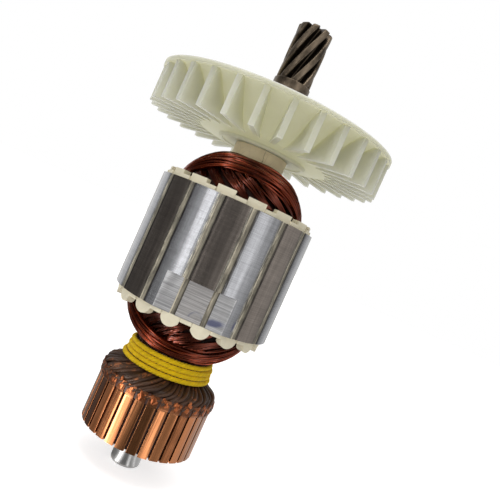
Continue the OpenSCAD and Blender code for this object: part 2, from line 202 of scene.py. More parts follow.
def tube_quads(steps, sides, count=1):
    """Quads of tubes one after another, each of so many rings with an even number of sides.

    The flat ends are closed strip by strip across the ring.
    """
    m = np.arange(sides // 2 - 1)
    cap = np.stack([m, m + 1, sides - 2 - m, sides - 1 - m], axis=-1)
    one = np.concatenate([grid_quads(steps, sides, close_columns=True), cap,
                          cap[:, ::-1] + (steps - 1) * sides])
    return (one[None] + steps * sides * np.arange(count)[:, None, None]).reshape(-1, 4)


def ring_solid(skin, inner):
    """Closed ring round the shaft, from its skin's points and its inner side's."""
    points = np.concatenate([skin, inner], axis=1)
    return points.reshape(-1, 3), grid_quads(*points.shape[:2], close_rows=True, close_columns=True)


def tubes(paths, radius, sides):
    """Round tubes with flat ends along paths, an array of tubes by steps by 3.

    A ring's points are path + radius (cos k * across + sin k * over), where across is the path's
    direction times the direction away from the shaft, and over is across times the direction.
    """
    count, steps = paths.shape[:2]
    direction = np.gradient(paths, axis=1)
    direction /= np.linalg.norm(direction, axis=-1, keepdims=True)
    outward = paths * [1, 1, 0] + direction[..., [1, 2, 0]] * 1e-6
    across = np.cross(direction, outward)
    across /= np.linalg.norm(across, axis=-1, keepdims=True)
    over = np.cross(across, direction)
    k = 2 * np.pi * np.arange(sides) / sides
    radius = np.reshape(radius, (-1, 1, 1, 1))
    ring = np.cos(k)[:, None] * across[:, :, None] + np.sin(k)[:, None] * over[:, :, None]
    points = paths[:, :, None] + radius * ring
    return points.reshape(-1, 3), tube_quads(steps, sides, count)


def own_tones(paths, sides, rng, brightest=1):
    """A random tone for each tube, on all its points."""
    return np.repeat(rng.uniform(0, brightest, len(paths)), paths.shape[1] * sides)


def turned(radius, angle, height):
    """Closed solid round the shaft from rows of angles by columns of heights, with flat ends.

    The points are around(radius, angle, height), with a middle point for each end.
    """
    points = around(radius, angle, height)
    rows, columns = points.shape[:2]
    middles = points[0, [0, -1]] * [0, 0, 1]
    k = np.arange(0, rows, 2)
    ring = np.stack([k, (k + 1) % rows, (k + 2) % rows], axis=-1) * columns
    centre = np.full((len(k), 1), rows * columns)
    lower = np.concatenate([ring[:, ::-1], centre], axis=1)
    upper = np.concatenate([ring + columns - 1, centre + 1], axis=1)
    skin = grid_quads(rows, columns, close_rows=True)
    return np.concatenate([points.reshape(-1, 3), middles]), np.concatenate([skin, lower, upper])


def joined(solids):
    """One pair of points and quads from several."""
    sizes = [len(points) for points, _ in solids]
    starts = np.cumsum([0] + sizes[:-1])
    return (np.concatenate([points for points, _ in solids]),
            np.concatenate([quads + start for start, (_, quads) in zip(starts, solids)]))


def piece(name, solid, material, replaces=(), tones=None):
    """Object from a pair of points and quads, with a tone for each point where they differ."""
    points, quads = solid
    mesh = bpy.data.meshes.new(name)
    mesh.vertices.add(len(points))
    mesh.vertices.foreach_set("co", np.ascontiguousarray(points, dtype=np.float32).ravel())
    mesh.loops.add(quads.size)
    mesh.loops.foreach_set("vertex_index", np.ascontiguousarray(quads, dtype=np.int32).ravel())
    mesh.polygons.add(len(quads))
    mesh.polygons.foreach_set("loop_start", np.arange(0, quads.size, 4, dtype=np.int32))
    mesh.update(calc_edges=True)
    mesh.validate()
    mesh.shade_smooth()
    mesh.set_sharp_from_angle(angle=np.radians(50))
    if tones is not None:
        layer = mesh.attributes.new("tone", 'FLOAT', 'POINT')
        layer.data.foreach_set("value", np.ascontiguousarray(tones, dtype=np.float32))
    return placed(name, mesh, material, replaces)


def added(name, data):
    """New object in the scene."""
    thing = bpy.data.objects.new(name, data)
    bpy.context.scene.collection.objects.link(thing)
    return thing


def placed(name, mesh, material, replaces=()):
    """New object that rides on the part, with its material."""
    thing = added(name, mesh)
    mesh.materials.clear()
    mesh.materials.append(material)
    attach(thing, BODY)
    if replaces:
        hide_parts(*replaces)
    return thing


def softened(name, nodes, edge, material, segments=2, angle=32):
    """Copy of CAD nodes as one piece, with its corners rounded by a Bevel of the given width."""
    build = bmesh.new()
    for node in nodes:
        build.from_mesh(bpy.data.objects[node].data)
    bmesh.ops.remove_doubles(build, verts=build.verts, dist=0.002 * MM)
    bmesh.ops.dissolve_limit(build, angle_limit=np.radians(0.5), verts=build.verts,
                             edges=build.edges)
    mesh = bpy.data.meshes.new(name)
    build.to_mesh(mesh)
    build.free()
    mesh.shade_smooth()
    mesh.set_sharp_from_angle(angle=np.radians(20))
    thing = placed(name, mesh, material, nodes)
    bevel = thing.modifiers.new("rounded corners", 'BEVEL')
    bevel.width, bevel.segments = edge, segments
    bevel.limit_method = 'ANGLE'
    bevel.angle_limit = np.radians(angle)
    bevel.harden_normals = True


# ---- Shader maths ----

def maths(operation, reflected=False):
    """A method of Value that adds a Math node, with its operands in order or reflected."""
    def method(self, *others):
        operands = (*others, self) if reflected else (self, *others)
        return add_node(self.socket.id_data, "Math", {"operation": operation},
                        dict(enumerate(operands)))
    return method


class Value:
    """A node's output. An expression on values adds its Math nodes."""

    __add__, __radd__ = maths('ADD'), maths('ADD', reflected=True)
    __sub__, __rsub__ = maths('SUBTRACT'), maths('SUBTRACT', reflected=True)
    __mul__, __rmul__ = maths('MULTIPLY'), maths('MULTIPLY', reflected=True)
    __truediv__, __pow__, __abs__ = maths('DIVIDE'), maths('POWER'), maths('ABSOLUTE')
    sine, arc_tangent = maths('SINE'), maths('ARCTAN2')
    floor, fraction = maths('FLOOR'), maths('FRACT')
    at_least, at_most = maths('MAXIMUM'), maths('MINIMUM')

    def __init__(self, socket):
        self.socket = socket

    def clamped(self, low_limit=0.0, high_limit=1.0):
        """The value, kept between two limits."""
        return self.at_least(low_limit).at_most(high_limit)

    def over(self, limit, softness):
        """0 below the limit and 1 above it, with a slope of the given width."""
        return ((self - limit) / softness + 0.5).clamped()

    def within(self, start, end, softness):
        """1 between start and end, and 0 outside."""
        return self.over(start, softness) * (1 - self.over(end, softness))

    def wave(self):
        """Sine of a value in turns, from 0 to 1."""
        return (self * (2 * np.pi)).sine() * 0.5 + 0.5


def add_node(tree, kind, settings=None, sockets=None, output=0):
    """Adds a shader node of any type: its settings, then its sockets' values or links."""
    node = tree.nodes.new("ShaderNode" + kind)
    for key, setting in (settings or {}).items():
        setattr(node, key, setting)
    for key, value in (sockets or {}).items():
        if isinstance(value, Value):
            tree.links.new(value.socket, node.inputs[key])
        else:
            node.inputs[key].default_value = value
    return Value(node.outputs[output])


def parts(tree, vector):
    """The three parts of a vector."""
    node = add_node(tree, "SeparateXYZ", sockets={0: vector}).socket.node
    return [Value(socket) for socket in node.outputs]


def empty_tree(owner):
    """The node tree of a new material or world, with nothing in it."""
    owner.use_nodes = True
    owner.node_tree.nodes.clear()
    return owner.node_tree


def show(tree, shader, kind="OutputMaterial"):
    """Links a shader to a new output node."""
    tree.links.new(shader.socket, tree.nodes.new("ShaderNode" + kind).inputs[0])


def shade(tint, factor):
    """A colour made lighter or darker by a factor."""
    return tuple(min(1.0, channel * factor) for channel in tint)


class Finish:
    """The nodes of one material, round a Principled shader. Its places are Object coordinates."""

    def __init__(self, name, **constants):
        self.material = bpy.data.materials.new(name)
        self.tree = empty_tree(self.material)
        shader = self.node("BsdfPrincipled")
        show(self.tree, shader)
        self.sockets = shader.socket.node.inputs
        for key, value in constants.items():
            self.sockets[key.replace("_", " ").title().replace("Ior", "IOR")].default_value = value
        self.place = self.node("TexCoord", output=3)
        self.x, self.y, self.z = parts(self.tree, self.place)

    def node(self, kind, settings=None, sockets=None, output=0):
        return add_node(self.tree, kind, settings, sockets, output)

    @cached_property
    def radius(self):
        """Distance from the shaft."""
        return (self.x * self.x + self.y * self.y) ** 0.5

    @cached_property
    def angle(self):
        """Angle round the shaft, in degrees from the front towards +X."""
        return self.x.arc_tangent(self.y * -1.0) * (180 / np.pi)

    @cached_property
    def rolled_out(self):
        """The surface rolled out flat: its turn at the core's radius and its height, in mm."""
        across = self.angle * (np.pi / 180 * CORE_R / MM)
        return self.node("CombineXYZ", sockets={0: across, 1: self.z * (1 / MM)})

    @cached_property
    def from_slot(self):
        """Distance round the core from the middle of the nearest slot."""
        return ((self.angle / SLOT_STEP + FIRST_TOOTH).fraction() - 0.5) * TOOTH_WIDTH

    def tone(self):
        """Level from 0 to 1 that each wire, lead, lump or ply has of its own. Under the arches the
        wires only get low levels, which paint the shade there.
        """
        return self.node("Attribute", {"attribute_name": "tone"}, output=2)

    def noise(self, scale, detail, roughness=0.55, stretch=(1, 1, 1), on=None):
        """Noise from 0 to 1, on the place or another vector, stretched along its axes."""
        vector = self.node("Mapping", sockets={"Vector": on or self.place, "Scale": stretch})
        return self.node("TexNoise", sockets={
            "Vector": vector, "Scale": scale, "Detail": detail, "Roughness": roughness})

    def grain(self, across, along, detail, roughness):
        """Noise on the surface rolled out, with so many spots per mm round it and along it."""
        return self.noise(1.0, detail, roughness, (across, along, 1), self.rolled_out)

    def random(self, number):
        """A level from 0 to 1 that depends only on a whole number."""
        return self.node("TexWhiteNoise", {"noise_dimensions": '1D'}, {"W": number})

    def mix(self, factor, first, second, blend='MIX'):
        """Mix of two colours. The factor is kept between 0 and 1."""
        def solid(c):
            return c if isinstance(c, Value) else (*c, 1)
        return self.node("Mix", {"data_type": 'RGBA', "blend_type": blend},
                         {0: factor, 6: solid(first), 7: solid(second)}, output=2)

    def shades(self, level, tint, first, second):
        """A colour that goes from its first factor at level 0 to its second at level 1."""
        return self.mix(level, shade(tint, first), shade(tint, second))

    def bump(self, height, distance, strength=1.0, **more):
        return self.node("Bump", sockets={
            "Height": height, "Distance": distance, "Strength": strength, **more})

    def done(self, base, rough, height, depth, strength=1.0, lean=None, metallic=None):
        """Links the colour, the roughness and a bump of this depth, and returns the material.

        The bump lies on another where bars or teeth lean, each by a height of its own.
        """
        below = {} if lean is None else {"Normal": self.bump(lean, 1.0)}
        links = {"Base Color": base, "Roughness": rough, "Metallic": metallic,
                 "Normal": self.bump(height, depth, strength, **below)}
        for key, value in links.items():
            if value is not None:
                self.tree.links.new(value.socket, self.sockets[key])
        return self.material


# ---- Finishes ----

# Colours of wear, dirt and marks, and of painted light: the pale varnished colour is partly a
# painted highlight, and the slot shadow and the hub's nylon are painted shade
WORN_LEAD = (0.32, 0.12, 0.05)
PALE_TARNISH, DARK_TARNISH = (0.5, 0.24, 0.1), (0.13, 0.045, 0.02)
PALE_RISER, DARK_RISER = (0.2, 0.07, 0.03), (0.03, 0.014, 0.01)
PALE_WELD, DARK_WELD = (0.52, 0.16, 0.055), (0.12, 0.035, 0.016)
COOL_TOOTH, WARM_TOOTH = (0.97, 0.99, 1.03), (0.98, 0.86, 0.76)
INK, RUST, GRIME = (0.035, 0.045, 0.13), (0.16, 0.11, 0.07), (0.2, 0.15, 0.08)
# The pale varnished colour is partly a painted highlight on the lit tooth edges, and the slot shadow
# is painted shade.
PALE_VARNISH_AND_HIGHLIGHT, DARK_VARNISH, SLOT_SHADOW = (0.6, 0.57, 0.48), (0.1, 0.09, 0.07), (0.05, 0.045, 0.04)
# Painted shade deep in the fan, between the blades near its hub.
SHADED_HUB_NYLON = (0.42, 0.42, 0.27)


def enamelled_wire(tint):
    """Copper under red-brown enamel, uneven along each wire. A wire has a tone of its own, and the
    wires under the arches are kept dark as painted shade.
    """
    f = Finish("enamelled_wire", metallic=0.9, coat_roughness=0.06, coat_weight=0.45)
    patches, fine = f.noise(260, 2), f.noise(2400, 2)
    base = f.shades(f.tone() * 0.75 + patches * 0.35, tint, 0.3, 1.9)
    return f.done(base, 0.15 + patches * 0.14, fine, 0.03 * MM, 0.5)


def speckled(name, tint, spots, factors, rough, depth, **constants):
    """One colour in patches: darker and smoother to lighter and rougher, with spots to match."""
    f = Finish(name, **constants)
    patches = f.noise(*spots)
    return f.done(f.shades(patches, tint, *factors), rough + patches * 0.2, patches, depth)


def bonded_leads(tint):
    """Brown-black resin on wire, with worn stretches where the copper shows."""
    f = Finish("bonded_leads", specular_ior_level=0.3)
    tone = f.tone()
    patches, fine = f.noise(420, 4, 0.65), f.noise(1800, 3)
    worn = patches.over(0.6, 0.06) * tone.over(0.35, 0.3)
    base = f.mix(worn, f.shades(tone * 0.6 + patches * 0.5, tint, 0.35, 1.7), WORN_LEAD)
    return f.done(base, 0.34 + patches * 0.2, patches + fine * 0.4, 0.16 * MM, metallic=worn * 0.6)


def cotton_cord(tint):
    """Dyed cotton: fine fibres along the plies and darker hollows between them."""
    f = Finish("yellow_cotton", sheen_weight=0.08, sheen_roughness=0.5, specular_ior_level=0.1)
    fibres, patches = f.noise(1500, 4, 0.7), f.noise(160, 2)
    base = f.shades(fibres * 0.6 + patches * 0.5 + f.tone() * 0.25 - 0.15, tint, 0.5, 1.12)
    return f.done(base, 0.75 + fibres * 0.15, fibres, 0.09 * MM)


def commutator_copper(tint):
    """Turned copper. Bars differ in tarnish, and brush wear leaves fine lines round the track."""
    f = Finish("bar_copper", metallic=1.0)
    bar = (f.angle - BAR_PHASE) / BAR_STEP + 0.5
    number, across = bar.floor(), bar.fraction() - 0.5
    own = ((number + 2) * 0.36 + 0.02).fraction()
    lines, streaks = f.grain(0.1, 4.0, 4, 0.7), f.grain(2.6, 0.06, 3, 0.6)
    patches = f.noise(230, 3)
    tarnish = (own * 0.9 + patches * 0.45 + streaks * 1.1 - 0.72).clamped()
    base = f.shades(tarnish, tint, 1.7, 0.35)
    browned = f.random(number + 0.5).over(0.6, 0.3) * 0.4
    base = f.mix(browned, base, f.mix(streaks, PALE_TARNISH, DARK_TARNISH))
    riser = (f.z + patches * (1.6 * MM)).over(RISER_TOP - 1.9 * MM, 0.9 * MM)
    base = f.mix(riser * 0.9, base, f.mix(patches, PALE_RISER, DARK_RISER))
    rough = 0.13 + tarnish * 0.12 + riser * 0.25
    lean = (own - 0.5) * across * (0.1 * BAR_WIDTH)
    return f.done(base, rough, lines * 0.5 + streaks, 0.03 * MM, 0.7, lean)


def weld_copper():
    """Copper that melted and froze in lumps where the leads meet the risers."""
    f = Finish("weld_copper", metallic=1.0)
    patches = f.noise(900, 3)
    base = f.mix(patches * 0.8 + f.tone() * 0.3, PALE_WELD, DARK_WELD)
    return f.done(base, 0.22 + patches * 0.2, patches, 0.12 * MM)


def core_steel(tint):
    """Turned laminations: a fine line at each sheet, bright wiped areas, and the balancing flat.

    The flat has coarser lines across it. Teeth differ in tint and lean, and ink was dabbed beside
    the flat when the rotor was balanced. Beside each slot one tooth edge has a varnished stripe,
    mottled dark and pale, whose pale part is also a painted highlight; the other edge has
    painted shade.
    """
    f = Finish("core_steel", metallic=1.0)
    flat = f.y.within(FLAT_Y - 0.12 * MM, FLAT_Y + 0.12 * MM, 0.02 * MM)
    flat = flat * (1 - f.z.over(FLAT_TOP, 0.05 * MM))
    sheets = (f.z / SHEET).wave()
    turning, bands = f.grain(0.12, 3.2, 4, 0.7), f.grain(0.1, 0.9, 3, 0.6)
    mill = f.noise(60, 4, 0.8, stretch=(0.6, 0.6, 40))
    patches, wiped = f.noise(110, 4, 0.6), f.grain(1.1, 0.06, 3, 0.55)
    level = (patches * 0.4 + wiped * 0.9 - 0.15 + (sheets - 0.5) * 0.08 + (turning - 0.5) * 0.6
             + (bands - 0.5) * 0.5)
    base = f.shades(level, tint, 0.6, 1.45)
    tooth = f.angle / SLOT_STEP + (FIRST_TOOTH + 0.5)
    own = f.random(tooth.floor())
    even = abs((tooth.floor() / 2).fraction() - 0.5) * 2
    base = f.mix(even, *[f.mix(1.0, base, cast, 'MULTIPLY') for cast in (COOL_TOOTH, WARM_TOOTH)])
    base = f.mix(flat * 0.7, base, f.shades((mill - 0.5) * 3.5 + 0.5, tint, 0.9, 2.5))
    ink = ink_marks(f, patches)
    base = f.mix(ink, base, INK)
    # Tooth edges beside each slot: on one side a varnished stripe, mottled dark and pale, whose pale
    # part is also a painted highlight of the lit edge; on the other side painted shade.
    side = f.from_slot.clamped(-3 * MM, 3 * MM)
    edge = 1 - abs(side).over(SLOT_MOUTH / 2 + 0.5 * MM, 0.25 * MM)
    edge = edge * f.radius.over(CORE_R - 1 * MM, 0.1 * MM)
    grain = f.grain(3, 0.3, 4, 0.7)
    varnish_and_painted_light = f.mix(grain.over(0.5, 0.2), DARK_VARNISH, PALE_VARNISH_AND_HIGHLIGHT)
    varnish_and_painted_light = f.mix(side.over(0, 0.1 * MM), varnish_and_painted_light, SLOT_SHADOW)
    base = f.mix(edge * (1 - flat) * (grain * 1.6).clamped(), base, varnish_and_painted_light)
    rust = patches.over(0.7, 0.1) * f.z.over(CORE_TOP - 1.6 * MM, 2 * MM)
    base = f.mix(rust * 0.5, base, RUST)
    rough = 0.15 + patches * 0.08 + wiped * 0.06 + ink * 0.3 + flat * 0.14
    height = sheets * 0.15 + turning * 0.6 + bands * 0.8 + wiped * 0.25
    height = height * (1 - flat) + mill * flat * 1.8
    lean = (own - 0.5) * (tooth.fraction() - 0.5) * (0.06 * TOOTH_WIDTH)
    return f.done(base, rough, height, 0.035 * MM, 0.8, lean, 1 - ink * 0.7 - flat * 0.5)


def ink_marks(f, patches):
    """Mask of the blue ink: a thin loop off the flat's end, a smudge by the next slot and a dab."""
    def spot(angle, height, half_angle, half_height, ragged, lean=0.0):
        """Distance from a spot's middle, 1 at its rim. The height is over the core's lower end."""
        x = (f.angle - angle) / half_angle
        z = f.z - (CORE_LOW + height)
        z = (z - x * lean if lean else z) / half_height
        return (x * x + z * z) ** 0.5 + (patches - 0.5) * ragged

    loop = spot(4.5, 0.4 * MM, 5.5, 2.3 * MM, 0.25).within(0.86, 1.06, 0.1)
    loop = loop * f.z.over(CORE_LOW + 1.0 * MM, 0.3 * MM)
    smudge = 1 - spot(18.0, 1.9 * MM, 7.0, 1.1 * MM, 1.3, 0.5 * MM).over(0.85, 0.5)
    dab = 1 - spot(31.0, 2.9 * MM, 2.2, 1.5 * MM, 1.2).over(0.8, 0.5)
    return (loop * 0.45 * patches.over(0.42, 0.2) + smudge * 0.85 + dab * 0.7).clamped()


def shaft_steel(bright, oiled):
    """Ground steel with fine lines round it, and a pinion dark with oil and worn at its tips."""
    f = Finish("machined_steel", metallic=1.0)
    lines, patches = f.noise(90, 4, 0.75, stretch=(1, 1, 55)), f.noise(240, 4, 0.6)
    pinion = f.z.over(PINION_LOW - 7 * MM, 3 * MM)
    worn = f.radius.over(4.3 * MM, 0.5 * MM) * patches.over(0.45, 0.3)
    ground = f.shades(lines * 0.7 + patches * 0.4, bright, 0.6, 1.3)
    oil = f.mix(worn * 0.8, f.shades(patches, oiled, 0.3, 2.2), shade(oiled, 5.5))
    height = lines * (1 - pinion) + patches * pinion * 1.5
    rough = 0.24 + patches * 0.14 + pinion * 0.08
    return f.done(f.mix(pinion, ground, oil), rough, height, 0.03 * MM, 0.8)


def fan_nylon(tint):
    """Natural nylon: light passes a little way into it. Painted shade makes its top darker and its
    hollows near the hub greener and darker.
    """
    f = Finish("fan_nylon", subsurface_weight=1.0, subsurface_scale=14 * MM,
               subsurface_radius=(1.0, 0.95, 0.7), ior=1.45)
    share = (f.z - FAN_LOW) / (FAN_TOP - FAN_LOW)
    cloud, fine = f.noise(70, 3), f.noise(900, 3)
    # Painted shade: deep between the blades near the hub, the nylon is made greener and darker.
    inner = (1 - f.radius.over(23 * MM, 12 * MM)) * share.over(0.05, 0.06)
    # The colour gets a little darker towards the fan's top.
    base = f.shades(cloud * 0.6 + share * 0.2, tint, 1.02, 0.88)
    # Painted shade: the fan's top, which the light from above brightens, is made darker.
    base = f.mix(share.over(0.75, 0.3) * 0.8, base, shade(tint, 0.76))
    base = f.mix(inner * 0.45, base, SHADED_HUB_NYLON)
    return f.done(base, 0.36 + cloud * 0.16, fine + cloud * 2, 0.03 * MM, 0.6)


def fibre(name, tint, khaki=None):
    """Pressed fibre or strip: pale and matt, with specks.

    With a khaki, the strip is dark in the slots' mouths and streaked along. Pale streaks on its
    left part are a painted highlight, and painted shade makes it darkest at its right edge.
    """
    f = Finish(name, specular_ior_level=0.35)
    cloud, specks = f.noise(260, 4, 0.6), f.noise(1500, 3, 0.7)
    base = f.shades(cloud * 0.7 + specks * 0.3, tint, 0.8, 1.12)
    if khaki is not None:
        mouth = f.z.within(CORE_LOW + 0.05 * MM, CORE_TOP - 0.05 * MM, 0.2 * MM)
        grain = f.grain(1.8, 0.14, 4, 0.7)
        strip = f.shades((cloud - 0.5) * 1.5 + (grain - 0.5) * 3 + 0.5, khaki, 0.4, 1.6)
        # Painted shade: the strip gets darkest towards its right edge.
        strip = f.mix(f.from_slot.over(0.42 * MM, 0.3 * MM) * 0.8, strip, shade(khaki, 0.15))
        # Painted highlight: pale streaks on the strip's left part.
        left = 1 - f.from_slot.over(-0.3 * MM, 0.3 * MM)
        strip = f.mix(grain.over(0.53, 0.1) * left, strip, shade(khaki, 2.8))
        base = f.mix(mouth, base, strip)
    return f.done(base, 0.5 + specks * 0.2, specks + cloud, 0.06 * MM)


def crazed_sleeve(tint):
    """Cream sleeve with a crack along it, fine crazing, and some grime."""
    f = Finish("sleeve_plastic", specular_ior_level=0.4)
    cloud, wander = f.noise(300, 4, 0.6), f.noise(500, 3)
    crack = 1 - abs(f.angle - (7.5 + (wander - 0.5) * 12)).over(0.55, 0.6)
    cells = f.node("TexVoronoi", {"feature": 'DISTANCE_TO_EDGE'},
                   {"Vector": f.place, "Scale": 480})
    crazing = (1 - cells.over(0.02, 0.03)) * cloud.over(0.55, 0.15) * 0.5
    lines = (crack + crazing).clamped()
    base = f.mix(lines * 0.8, f.shades(cloud, tint, 0.78, 1.15), GRIME)
    return f.done(base, 0.42 + cloud * 0.15, 1 - lines, 0.06 * MM)


# ---- Windings ----

BORE_R = SLEEVE_R + 0.1 * MM
DOME_POWER = 1.25
FOOT_SINK, CROWN_GAP, BORE_GAP = 0.9 * MM, 0.3 * MM, 0.35 * MM
ARCH_PEAK, ARCH_SPREAD, ARCH_CROSSING = 66, 18.5, 3.4
SWIRL_LEAN = 0.9
WIRE_SIDES = 6


class WindingEnd:
    """One end of the winding: where its foot is, how high it stands, and which way it points."""

    def __init__(self, foot, crown, extra, way):
        self.foot = foot
        self.limit = abs(crown - foot)
        self.height = self.limit + extra
        self.way = way

    def point(self, t, angle, depth):
        """Point at t degrees from the foot (0) to the crown (90) of a superellipse.

        The radius is bore + (reach - bore) cos^p t and the height is h sin^p t, each drawn in by
        depth along (cos t, sin t). Near the foot the point sinks between the end plate's fingers.
        """
        t = np.clip(t, 0, 90)
        c, s = np.cos(np.radians(t)), np.sin(np.radians(t))
        radius = BORE_R + (COIL_R - BORE_R) * c ** DOME_POWER - depth * c
        rise = self.height * s ** DOME_POWER - depth * s
        rise = np.minimum(rise, self.limit - CROWN_GAP) - FOOT_SINK * (1 - s) ** 10
        radius = np.maximum(radius, BORE_R + BORE_GAP)
        return around(radius, angle, self.foot + self.way * rise)


def arch_paths(end, side, settings, rng):
    """Wires of an outermost coil, from one slot over the crown to the slot across the shaft.

    With s from -1 to 1 along a wire, its angle is side + span s and its place on the dome is
    t = atan(tan(peak) cos(90 s)), where the span and the peak grow from wire to wire with u, from
    -1 to 1. A slow sine in the peak lets neighbours cross. The depth grows by 0.8 of a wire for
    each layer and by |u|^3 towards the coil's edges, and is uneven by a squared sine.
    """
    wires, layers, wire = settings.arch_wires, settings.arch_layers, settings.wire
    s = np.linspace(-1, 1, 52)[None]
    u = np.tile(np.linspace(-1, 1, wires), layers)[:, None]
    u = u + rng.uniform(-0.05, 0.05, u.shape)
    layer = np.repeat(np.arange(layers), wires)[:, None]
    phase = rng.uniform(0, 2 * np.pi, u.shape)
    peak = ARCH_PEAK + ARCH_SPREAD * u + ARCH_CROSSING * np.sin(2.7 * s + phase)
    span = 3.5 * SLOT_STEP + 4.5 * u
    t = np.degrees(np.arctan(np.tan(np.radians(np.minimum(peak, 86))) * np.cos(np.radians(90 * s))))
    depth = wire * (0.5 + 0.8 * layer + 0.5 * np.sin(3.1 * s + 1.7 * phase) ** 2)
    depth = depth + 0.4 * MM * np.abs(u) ** 3
    return end.point(t, side + span * s, depth)


def swirl_paths(end, wires, rng):
    """Wires that leave each slot and lean round the shaft as they climb, below the outermost coils.

    With t from the foot to near the crown, the angle is slot + spread u - lean t and a slow sine,
    where the spread grows as the wires fan out. The wires of one slot form a round bundle, deeper
    by u^2, and tipped by u so that it passes over the next one.
    """
    slot, u = [a.reshape(-1, 1) for a in np.meshgrid(SLOT_ANGLES, np.linspace(-1, 1, wires),
                                                     indexing="ij")]
    t = np.linspace(0, 84, 26)[None]
    u = u + rng.uniform(-0.08, 0.08, u.shape)
    phase = rng.uniform(0, 2 * np.pi, u.shape)
    angle = slot + u * (5.2 + 6.5 * ease(5, 50, t)) - SWIRL_LEAN * t
    angle = angle + 3.5 * np.sin(np.radians(3.2 * t) + phase) * ease(8, 40, t)
    depth = (1.65 + 0.28 * u + 0.35 * u * u + 0.22 * np.sin(np.radians(4 * t) + 2 * phase)) * MM
    return end.point(t, angle, depth)


def depth_dome(end):
    """Closed ring under the wires: the dome drawn in by 2.9 mm and a sine, on a flat foot."""
    t = np.linspace(0, 90, 16)[None]
    angle = full_turn(96)
    ripple = 0.15 * MM * np.sin(np.radians(8 * (angle + SWIRL_LEAN * t)))
    skin = end.point(t, angle, 2.9 * MM + ripple)
    points, quads = ring_solid(skin, around(BORE_R, angle, end.foot - end.way * FOOT_SINK))
    return points, quads if end.way > 0 else quads[:, ::-1]


def slot_sides():
    """Coil sides in the slots: prisms of half width (r sin 11.25 - wall) / cos 11.25."""
    half_step = np.radians(SLOT_STEP / 2)
    radii = np.array([10.5, 17.6]) * MM
    half = (radii * np.sin(half_step) - SLOT_WALL) / np.cos(half_step)
    slots = np.radians(SLOT_ANGLES)[:, None, None]
    r, w = radii[[0, 0, 1, 1]], half[[0, 0, 1, 1]] * [-1, 1, 1, -1]
    heights = np.array([PLATE_LOW - 0.5 * MM, PLATE_TOP + 0.5 * MM])[None, :, None]
    x = r * np.sin(slots) + w * np.cos(slots)
    y = -r * np.cos(slots) + w * np.sin(slots)
    x, y, z = np.broadcast_arrays(x, y, heights)
    return np.stack([x, y, z], axis=-1).reshape(-1, 3), tube_quads(2, 4, len(WEDGES))


class ARMATURE_OT_winding(bpy.types.Operator):
    """Build both end windings from swept wires"""
    bl_idname = "armature.winding"
    bl_label = "Winding"

    def execute(self, context):
        settings = context.scene.armature_winding
        enamel = enamelled_wire(settings.enamel)
        ends = {"fan": WindingEnd(PLATE_TOP, COIL_TOP, 0.0, 1),
                "commutator": WindingEnd(PLATE_LOW, COIL_LOW, 0.7 * MM, -1)}
        rng = np.random.default_rng(16)
        for name, end in ends.items():
            groups = [arch_paths(end, side, settings, rng) for side in (0, 180)]
            groups.append(swirl_paths(end, settings.slot_wires, rng))
            wires = joined([tubes(paths, settings.wire / 2, WIRE_SIDES) for paths in groups])
            # The swirl wires under the arches only get tones up to 0.2: painted shade in the hollow
            # there.
            tones = np.concatenate([own_tones(paths, WIRE_SIDES, rng, brightest)
                                    for paths, brightest in zip(groups, (1, 1, 0.2))])
            piece(f"coil_wires_{name}_end", wires, enamel,
                  ["armature_winding"], tones)
        depth = joined([depth_dome(end) for end in ends.values()] + [slot_sides()])
        # The dome under the wires and the coil sides: dark varnished wire, painted nearly black in
        # the enamel's hue as shade between the wires.
        varnish_and_painted_light = speckled("painted_shade_under_wires", settings.enamel, (500, 3), (0.06, 0.25), 0.45,
                           0.2 * MM, metallic=0.2)
        piece("winding_depth", depth, varnish_and_painted_light, ["armature_winding"])
        return {'FINISHED'}


# ---- Leads and lashing ----

def leads_radius(z):
    """Radius of the leads' shoulder at height z over the risers: track to neck by a smooth step."""
    return NECK_R + (TRACK_R - NECK_R) * (1 - ease(0.8 * MM, NECK_LOW, z))


def lead_paths(lead, turn, rng):
    """Two leads for each bar, one of them deeper. Each leans by turn from riser to neck."""
    count = 2 * len(BARS)
    z = np.linspace(-1.3 * MM, LEADS_TOP - RISER_TOP - 0.4 * MM, 26)[None]
    number = np.arange(count)[:, None]
    start = BAR_PHASE + (number + 0.5) * 360 / count + rng.uniform(-1.0, 1.0, (count, 1))
    lean = turn * z / NECK_LOW * rng.uniform(0.86, 1.12, (count, 1))
    angle = start + lean + 1.2 * np.sin(z / MM * 1.1 + number)
    inset = lead * (0.42 + 0.28 * (number % 2)) + rng.uniform(0, 0.25 * MM, (count, 1))
    inset = inset * ease(-1.6 * MM, 0.9 * MM, z)
    rise = z + rng.uniform(-0.35 * MM, 0.35 * MM, (count, 1))
    return around(leads_radius(z) - inset, angle, RISER_TOP + rise)


def resin_body(lead):
    """Closed ring of resin under the leads, drawn in by 0.62 of a lead and uneven by a sine."""
    z = np.linspace(0, LEADS_TOP - RISER_TOP, 24)[None]
    angle = full_turn(192)
    ripple = 0.16 * MM * np.sin(np.radians(32 * (angle - 5.5 * z / MM)))
    skin = around(leads_radius(z) - 0.62 * lead + ripple, angle, RISER_TOP + z)
    return ring_solid(skin, around(BORE_R, angle, np.array([[LEADS_TOP, RISER_TOP]])))


